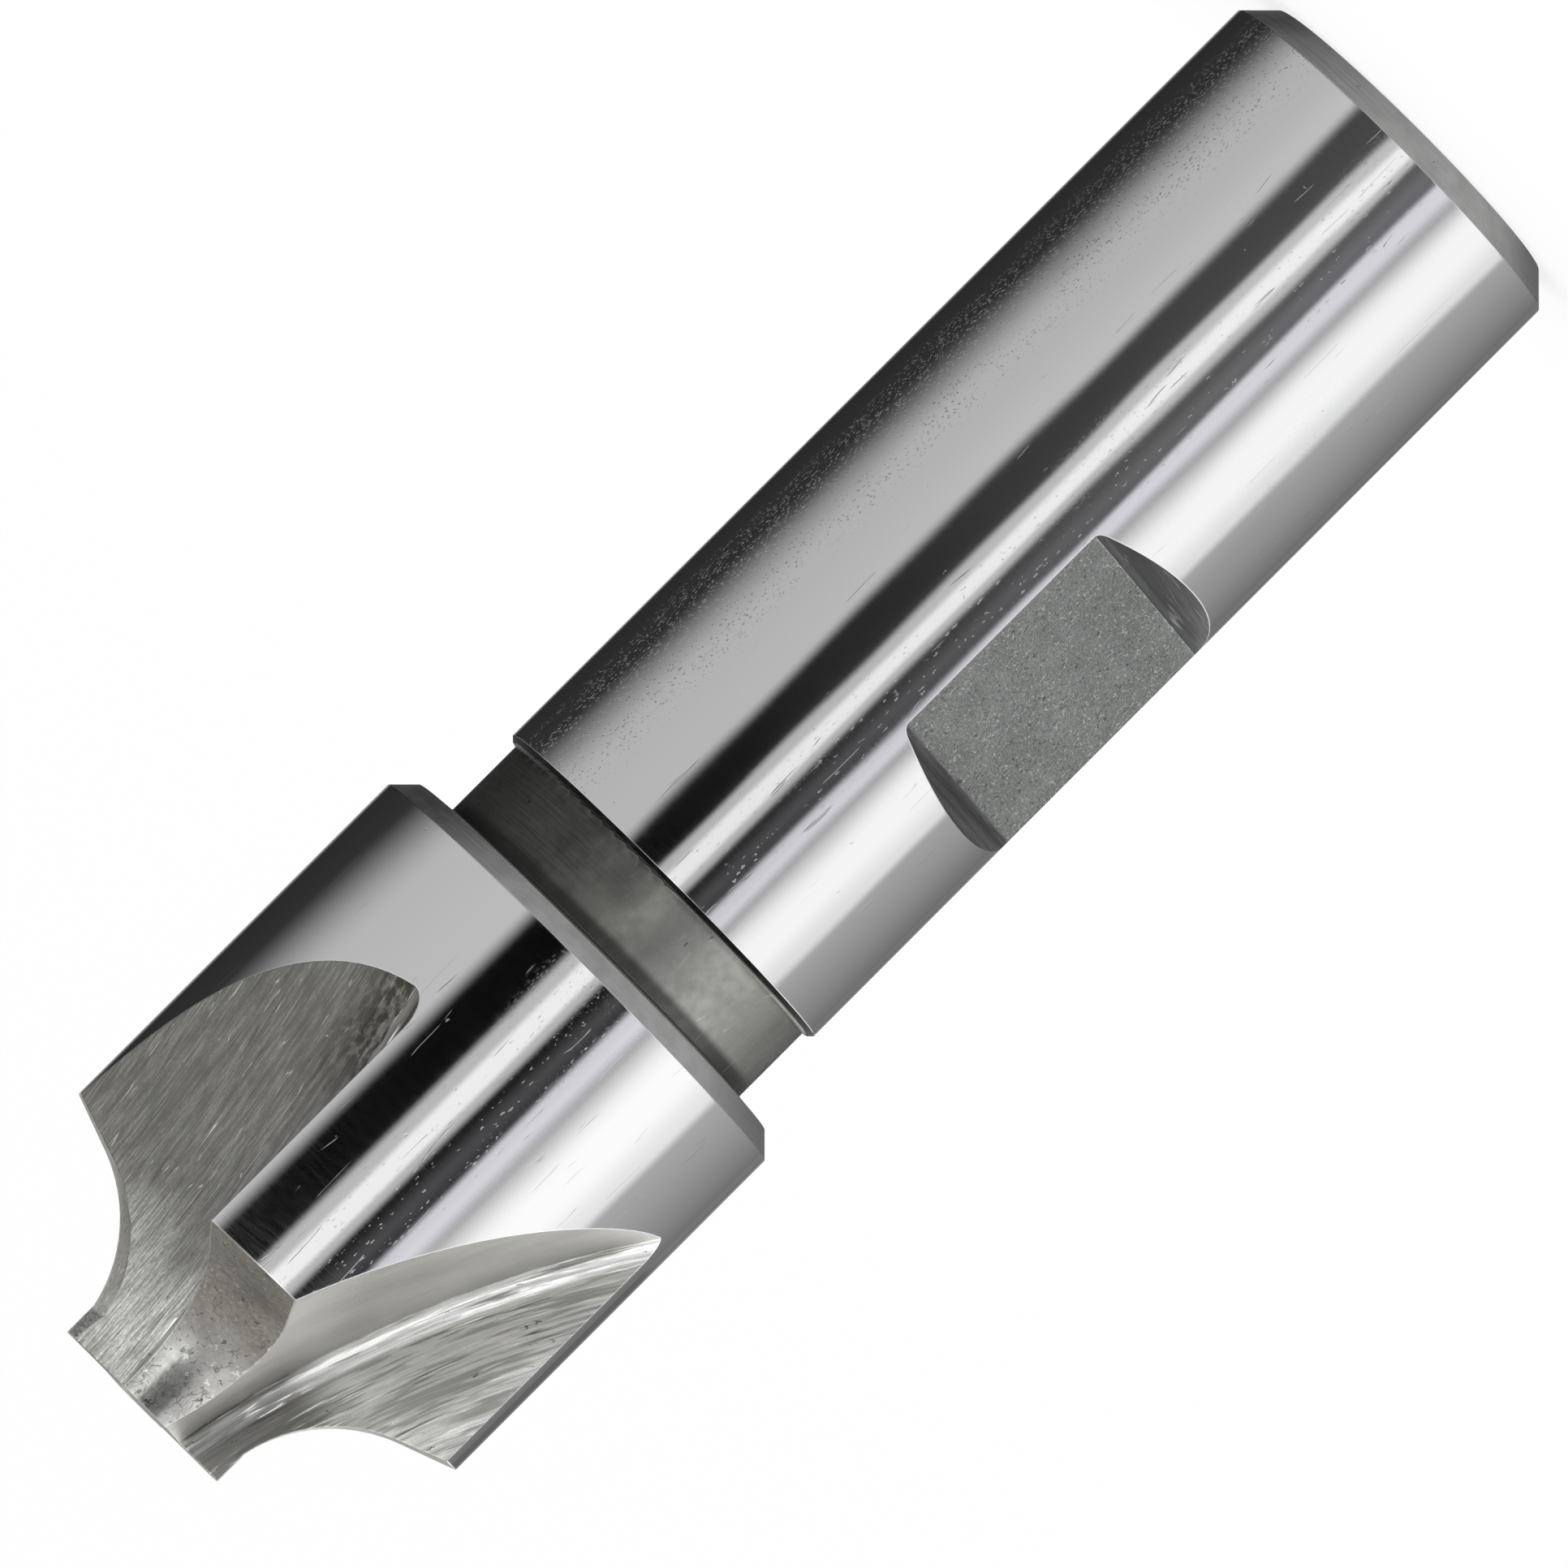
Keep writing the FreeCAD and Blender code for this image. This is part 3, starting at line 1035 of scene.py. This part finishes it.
def neck_steel():
    """Black scale on the neck, with painted light that makes one side lighter, and a few scuffs
    and spots.
    """
    material, tree = new_steel("neck_scale")
    here = use_group(tree, TOOL_PLACE)
    place = here["Place"]
    cloud = grain(tree, place, (0.3, 0.3, 0.25), 0.2, 0.8, 4.0)
    # Painted light: one side of the neck is painted lighter, and the scuffs and lower roughness
    # also go there.
    painted_light_side = total(tree, toward(tree, place, LIT_NECK_SIDE), (cloud, 2.5))
    painted_light_side = spread(tree, painted_light_side, 7.0, 14.0)
    rings = grain(tree, place, (0.3, 0.3, 7.0), 0.3, 0.7, 3.0)
    mottle = grain(tree, place, (1.3, 1.3, 1.3), 0.3, 0.7, 4.0)
    scuffs = scratches(tree, place, (0.7, 0.7, 0.12), 0.016, 0.26)
    spots = nicks(tree, place, (0.9, 0.9, 0.9), 0.17, 0.35, 0.8)
    deep = mixed(tree, painted_light_side, grey(0.03), (0.19, 0.19, 0.18))
    shade = coats(
        tree, (0.05, 0.051, 0.047),
        (painted_light_side, 1.0, (0.31, 0.31, 0.29)),
        (mottle, 0.35, deep),
        (rings, 0.08, (0.3, 0.3, 0.29)),
        # Painted shade: darker next to the head's back face.
        (spread(tree, here["Height"], *BEHIND_HEAD), 0.75, (0.025, 0.025, 0.024)),
        # Painted shade: darker in the step next to the shank's front edge.
        (spread(tree, here["Height"], *SHANK_FRONT), 0.4, (0.06, 0.06, 0.058)),
        (times(tree, scuffs, painted_light_side), 0.5, (0.5, 0.5, 0.48)),
        (spots, 0.75, (0.015, 0.015, 0.014)))
    rough = total(tree, 0.4, (painted_light_side, -0.08), (mottle, 0.1))
    height = total(tree, 0.0, (mottle, 0.3), (spots, -1.0), (rings, 0.2))
    return finished(material, shade, rough, height, 0.006)


def flat_floor_steel():
    """The milled floor of the flat: grey, felt-like, full of short light hairs and dark specks."""
    material, tree = new_steel("flat_floor")
    place = use_group(tree, TOOL_PLACE)["Place"]
    felt = grain(tree, place, (6.0, 6.0, 6.0), 0.3, 0.7, 4.0)
    cloud = grain(tree, place, (0.35, 0.35, 0.35), 0.3, 0.7, 3.0)
    hairs = scratches(tree, place, (2.0, 2.0, 2.0), 0.032, 0.56)
    elsewhere = shifted(tree, place, (31, 7, 12))
    dark_hairs = scratches(tree, elsewhere, (1.8, 1.8, 1.8), 0.034, 0.56)
    specks = nicks(tree, place, (1.7, 1.7, 1.7), 0.36, 0.4, 1.2)
    glints = nicks(tree, shifted(tree, place, (5, 3, 8)), (1.6, 1.6, 1.6), 0.12, 0.3, 0.6)
    edge, rounded = edge_line(tree, 0.14)
    shade = coats(
        tree, (0.245, 0.252, 0.245),
        (cloud, 1.0, (0.31, 0.318, 0.31)),
        (felt, 0.5, (0.12, 0.126, 0.121)),
        (hairs, 0.75, (0.55, 0.56, 0.54)),
        (dark_hairs, 0.65, (0.05, 0.054, 0.05)),
        (specks, 0.7, (0.05, 0.053, 0.05)),
        (glints, 0.7, (0.8, 0.8, 0.78)),
        # Painted highlight: the rounded edges are lightened.
        (edge, 0.12, grey(0.45)))
    rough = total(tree, 0.42, (felt, 0.12))
    height = total(tree, felt, (hairs, 0.5), (specks, -0.8))
    return finished(material, shade, rough, height, 0.012, rounded)


def flat_wall_steel():
    """The sloping ends of the flat, streaked down the slope and darker than its floor, with
    painted shade on the end towards the shank.
    """
    material, tree = new_steel("flat_wall")
    here = use_group(tree, TOOL_PLACE)
    place = turned_place(tree, here["Place"], (0, 0, -FLAT_ANGLE))
    streaks = grain(tree, place, (1.4, 0.12, 0.8), 0.3, 0.7, 4.0)
    fine = grain(tree, place, (6.0, 0.5, 4.0), 0.35, 0.7, 3.0)
    light_lines = scratches(tree, place, (1.2, 0.12, 0.8), 0.03, 0.35)
    edge, rounded = edge_line(tree, 0.12)
    shade = coats(
        tree, (0.085, 0.087, 0.085),
        (streaks, 1.0, (0.21, 0.215, 0.21)),
        # Painted shade: the wall towards the shank end is darkened.
        (spread(tree, here["Height"], *PAINTED_SHADE_FLAT_WALL), 0.85, (0.022, 0.023, 0.023)),
        (fine, 0.5, grey(0.06)),
        (light_lines, 0.25, (0.45, 0.45, 0.44)),
        # Painted highlight: the rounded edges are lightened.
        (edge, 0.5, grey(0.5)))
    rough = total(tree, 0.36, (fine, 0.15))
    height = total(tree, streaks, (fine, 0.4))
    return finished(material, shade, rough, height, 0.008, rounded)


def flute_floor_steel():
    """The floor of a flute: streaked along the wheel's path, paler towards the tip, with a dark
    residue where the wheel ran out. On the lower side it has fewer streaks, and painted light
    makes it paler."""
    material, tree = new_steel("flute_floor")
    here = use_group(tree, WHEEL_PLACE)
    place = here["Place"]
    across = toward(tree, use_group(tree, TOOL_PLACE)["Place"], UPPER_SIDE)
    smooth = spread(tree, across, 0.0, -3.0)
    upper = spread(tree, across, 1.0, 4.0)
    streaks = grain(tree, place, (3.6, 3.6, 0.13), 0.38, 0.6, 6.0)
    fine = grain(tree, place, (9.0, 9.0, 0.5), 0.35, 0.65, 4.0)
    cloud = grain(tree, place, (0.28, 0.28, 0.12), 0.3, 0.72, 4.0)
    mottle = grain(tree, place, (1.3, 1.3, 0.5), 0.45, 0.66, 8.0)
    felt = grain(tree, place, (8.0, 8.0, 4.0), 0.3, 0.7, 3.0)
    crossing = turned_place(tree, place, (0.0, math.radians(4), math.radians(3)))
    hairlines = scratches(tree, crossing, (2.4, 2.4, 0.035), 0.012, 0.3)
    light_lines = scratches(tree, place, (2.4, 2.4, 0.12), 0.014, 0.3)
    dark_lines = scratches(tree, shifted(tree, place, (3, 8, 21)), (1.8, 1.8, 0.08), 0.05, 0.42)
    specks = nicks(tree, place, (2.4, 2.4, 1.1), 0.25, 0.3, 0.9)
    # Paler towards the tip, with a ragged border.
    paler_towards_tip = total(tree, here["Height"], (cloud, 3.0))
    residue = times(tree, spread(tree, here["Height"], *FLOOR_END),
                    spread(tree, here["Side"], 5.0, 1.2),
                    grain(tree, place, (1.6, 1.6, 0.8), 0.36, 0.54, 8.0), upper)
    edge, rounded = edge_line(tree, 0.12)
    shade = coats(
        tree, (0.19, 0.188, 0.178),
        (cloud, 1.0, (0.125, 0.123, 0.115)),
        (streaks, 0.45, (0.32, 0.318, 0.305)),
        (mottle, 0.5, (0.11, 0.108, 0.099)),
        (spread(tree, paler_towards_tip, *PALER_FLOOR_TIP), 1.0, (0.72, 0.72, 0.7)),
        (fine, 0.6, (0.115, 0.113, 0.105)),
        (felt, 0.4, (0.1, 0.098, 0.09)),
        (hairlines, 0.6, (0.7, 0.7, 0.68)),
        (light_lines, 0.4, (0.75, 0.75, 0.73)),
        (dark_lines, 0.55, (0.07, 0.068, 0.062)),
        (specks, 0.6, (0.07, 0.067, 0.058)),
        # Painted light: the lower side is paler, and its streaks are covered.
        (smooth, 0.85, mixed(tree, cloud, (0.5, 0.495, 0.47), (0.4, 0.395, 0.37))),
        (residue, 0.85, (0.05, 0.047, 0.036)),
        # Painted shade: a dark outline along the flute floor's edges.
        (edge, 0.95, (0.03, 0.03, 0.028)))
    rough = total(tree, 0.34, (fine, 0.1), (residue, 0.25))
    height = total(tree, 0.0, (streaks, 0.5), (fine, 0.5), (felt, 0.5), (residue, 1.2),
                   (specks, -0.7))
    return finished(material, shade, rough, height, 0.007, rounded)


def rake_steel(name, bright, dull, roughness):
    """The faces that the wheel's side and rounded rim left: bright, streaked along its turning,
    with glints, dark lines and specks, and stained towards the tip."""
    material, tree = new_steel(name)
    here = use_group(tree, WHEEL_PLACE)
    place = here["Place"]
    across = toward(tree, use_group(tree, TOOL_PLACE)["Place"], UPPER_SIDE)
    streaks = grain(tree, place, (4.4, 4.4, 0.16), 0.42, 0.57, 7.0)
    fine = grain(tree, place, (9.0, 9.0, 0.4), 0.3, 0.7, 4.0)
    cloud = grain(tree, place, (0.35, 0.35, 0.1), 0.35, 0.7, 3.0)
    shine = grain(tree, shifted(tree, place, (2, 7, 4)), (1.2, 1.2, 0.16), 0.46, 0.58, 5.0)
    glints = scratches(tree, place, (2.4, 2.4, 0.14), 0.11, 0.42)
    dark_lines = scratches(tree, shifted(tree, place, (6, 1, 33)), (1.9, 1.9, 0.09), 0.07, 0.42)
    specks = nicks(tree, place, (1.6, 1.6, 0.8), 0.24, 0.42, 1.1)
    stained = times(tree, spread(tree, here["Height"], *STAINED_RAKE),
                    spread(tree, here["Reach"], 68.5, 71.0))
    residue = times(tree, spread(tree, here["Height"], *RAKE_END), spread(tree, across, 1.0, 4.0))
    edge, rounded = edge_line(tree, 0.12)
    shade = coats(
        tree, dull,
        (streaks, 1.0, bright),
        (cloud, 0.35, dimmed(dull, 0.7)),
        (shine, 0.7, (0.97, 0.97, 0.95)),
        (fine, 0.35, dimmed(dull, 0.55)),
        (stained, 0.8, (0.13, 0.128, 0.12)),
        (residue, 0.85, (0.05, 0.047, 0.038)),
        (glints, 0.8, (0.95, 0.95, 0.93)),
        (dark_lines, 0.7, (0.1, 0.098, 0.09)),
        (specks, 0.75, (0.06, 0.058, 0.052)),
        # Painted highlight: the rounded edges are lightened.
        (edge, 0.5, (0.9, 0.9, 0.88)))
    rough = total(tree, roughness, (fine, 0.12), (shine, -0.16), (glints, -0.15))
    height = total(tree, 0.0, (streaks, 0.6), (fine, 0.5), (glints, 1.6), (specks, -0.8))
    return finished(material, shade, rough, height, 0.005, rounded)


def relief_steel():
    """The relieved form behind a cutting edge: scratched both ways and stained brown, bright and
    crackled on the narrow land at the tip, with one painted dark reflection across that land."""
    material, tree = new_steel("form_relief")
    here = use_group(tree, TOOL_PLACE)
    place = here["Place"]
    across = toward(tree, place, UPPER_SIDE)
    rings = grain(tree, place, (0.6, 0.6, 5.0), 0.3, 0.7, 4.0)
    felt = grain(tree, place, (2.8, 2.8, 2.8), 0.3, 0.72, 6.0)
    cloud = grain(tree, place, (0.4, 0.4, 0.4), 0.32, 0.68, 4.0)
    light_lines = scratches(tree, place, (1.5, 1.5, 0.9), 0.026, 0.52)
    dark_lines = scratches(tree, shifted(tree, place, (12, 5, 3)), (1.4, 1.4, 0.8), 0.03, 0.55)
    specks = nicks(tree, place, (1.3, 1.3, 1.3), 0.26, 0.32, 1.0)
    cracks = crackle(tree, place, (0.9, 0.9, 0.9), 0.045)
    glints = nicks(tree, shifted(tree, place, (8, 2, 1)), (1.5, 1.5, 1.5), 0.4, 0.45, 1.2)
    land = spread(tree, here["Height"], *TIP_LAND)
    # Painted reflection: a dark band across the land at the tip.
    painted_dark_reflection = times(tree, spread(tree, across, 0.75, 0.35), spread(tree, across, -1.4, -0.8),
                        spread(tree, here["Height"], *DARK_LAND))
    edge, rounded = edge_line(tree, 0.16)
    shade = coats(
        tree, (0.25, 0.239, 0.21),
        (cloud, 1.0, (0.185, 0.172, 0.145)),
        (rings, 0.3, (0.3, 0.294, 0.275)),
        (felt, 0.55, (0.14, 0.13, 0.11)),
        (land, 1.0, mixed(tree, cloud, (0.6, 0.6, 0.58), (0.38, 0.375, 0.355))),
        (painted_dark_reflection, 0.8, mixed(tree, felt, (0.22, 0.22, 0.21), (0.1, 0.1, 0.095))),
        (light_lines, 0.5, (0.5, 0.49, 0.465)),
        (dark_lines, 0.65, (0.08, 0.07, 0.055)),
        (specks, 0.8, (0.045, 0.04, 0.033)),
        (times(tree, glints, land), 0.8, (0.95, 0.95, 0.92)),
        (times(tree, cracks, land), 0.8, (0.08, 0.07, 0.055)),
        # Painted highlight: the rounded edges are lightened.
        (edge, 0.6, (0.72, 0.7, 0.65)))
    rough = total(tree, 0.34, (felt, 0.12), (land, -0.14))
    height = total(tree, felt, (rings, 0.4), (specks, -1.0))
    return finished(material, shade, rough, height, 0.008, rounded)


# One steel for each finish, in the order of FINISHES
STEELS = [
    ground_steel("shank_ground", SHANK_RADIUS, (0.62, 0.62, 0.625), 0.075, 1.0, 0.03),
    ground_steel("head_ground", HEAD_RADIUS, (0.66, 0.66, 0.665), 0.055, 0.0, 0.01),
    turned_steel("turned", (0.36, 0.36, 0.357), 0.42, 0.38),
    front_edge_steel(),
    neck_steel(),
    flat_floor_steel(),
    flat_wall_steel(),
    flute_floor_steel(),
    rake_steel("flute_corner", (0.9, 0.9, 0.885), (0.6, 0.598, 0.58), 0.32),
    rake_steel("rake_face", (0.96, 0.96, 0.94), (0.52, 0.518, 0.5), 0.38),
    relief_steel(),
    turned_steel("tip_face", (0.45, 0.45, 0.44), 0.34),
    turned_steel("centre_hole", (0.3, 0.298, 0.29), 0.4),
]


for leftover in list(bpy.data.objects):
    bpy.data.objects.remove(leftover)
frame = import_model()
photo_camera()
studio()
tool = dressed_tool(frame["nodes"][NODE])
for steel in STEELS:
    tool.data.materials.append(steel)
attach(tool, "root")
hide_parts(NODE)
bpy.context.scene.view_settings.view_transform = "Standard"
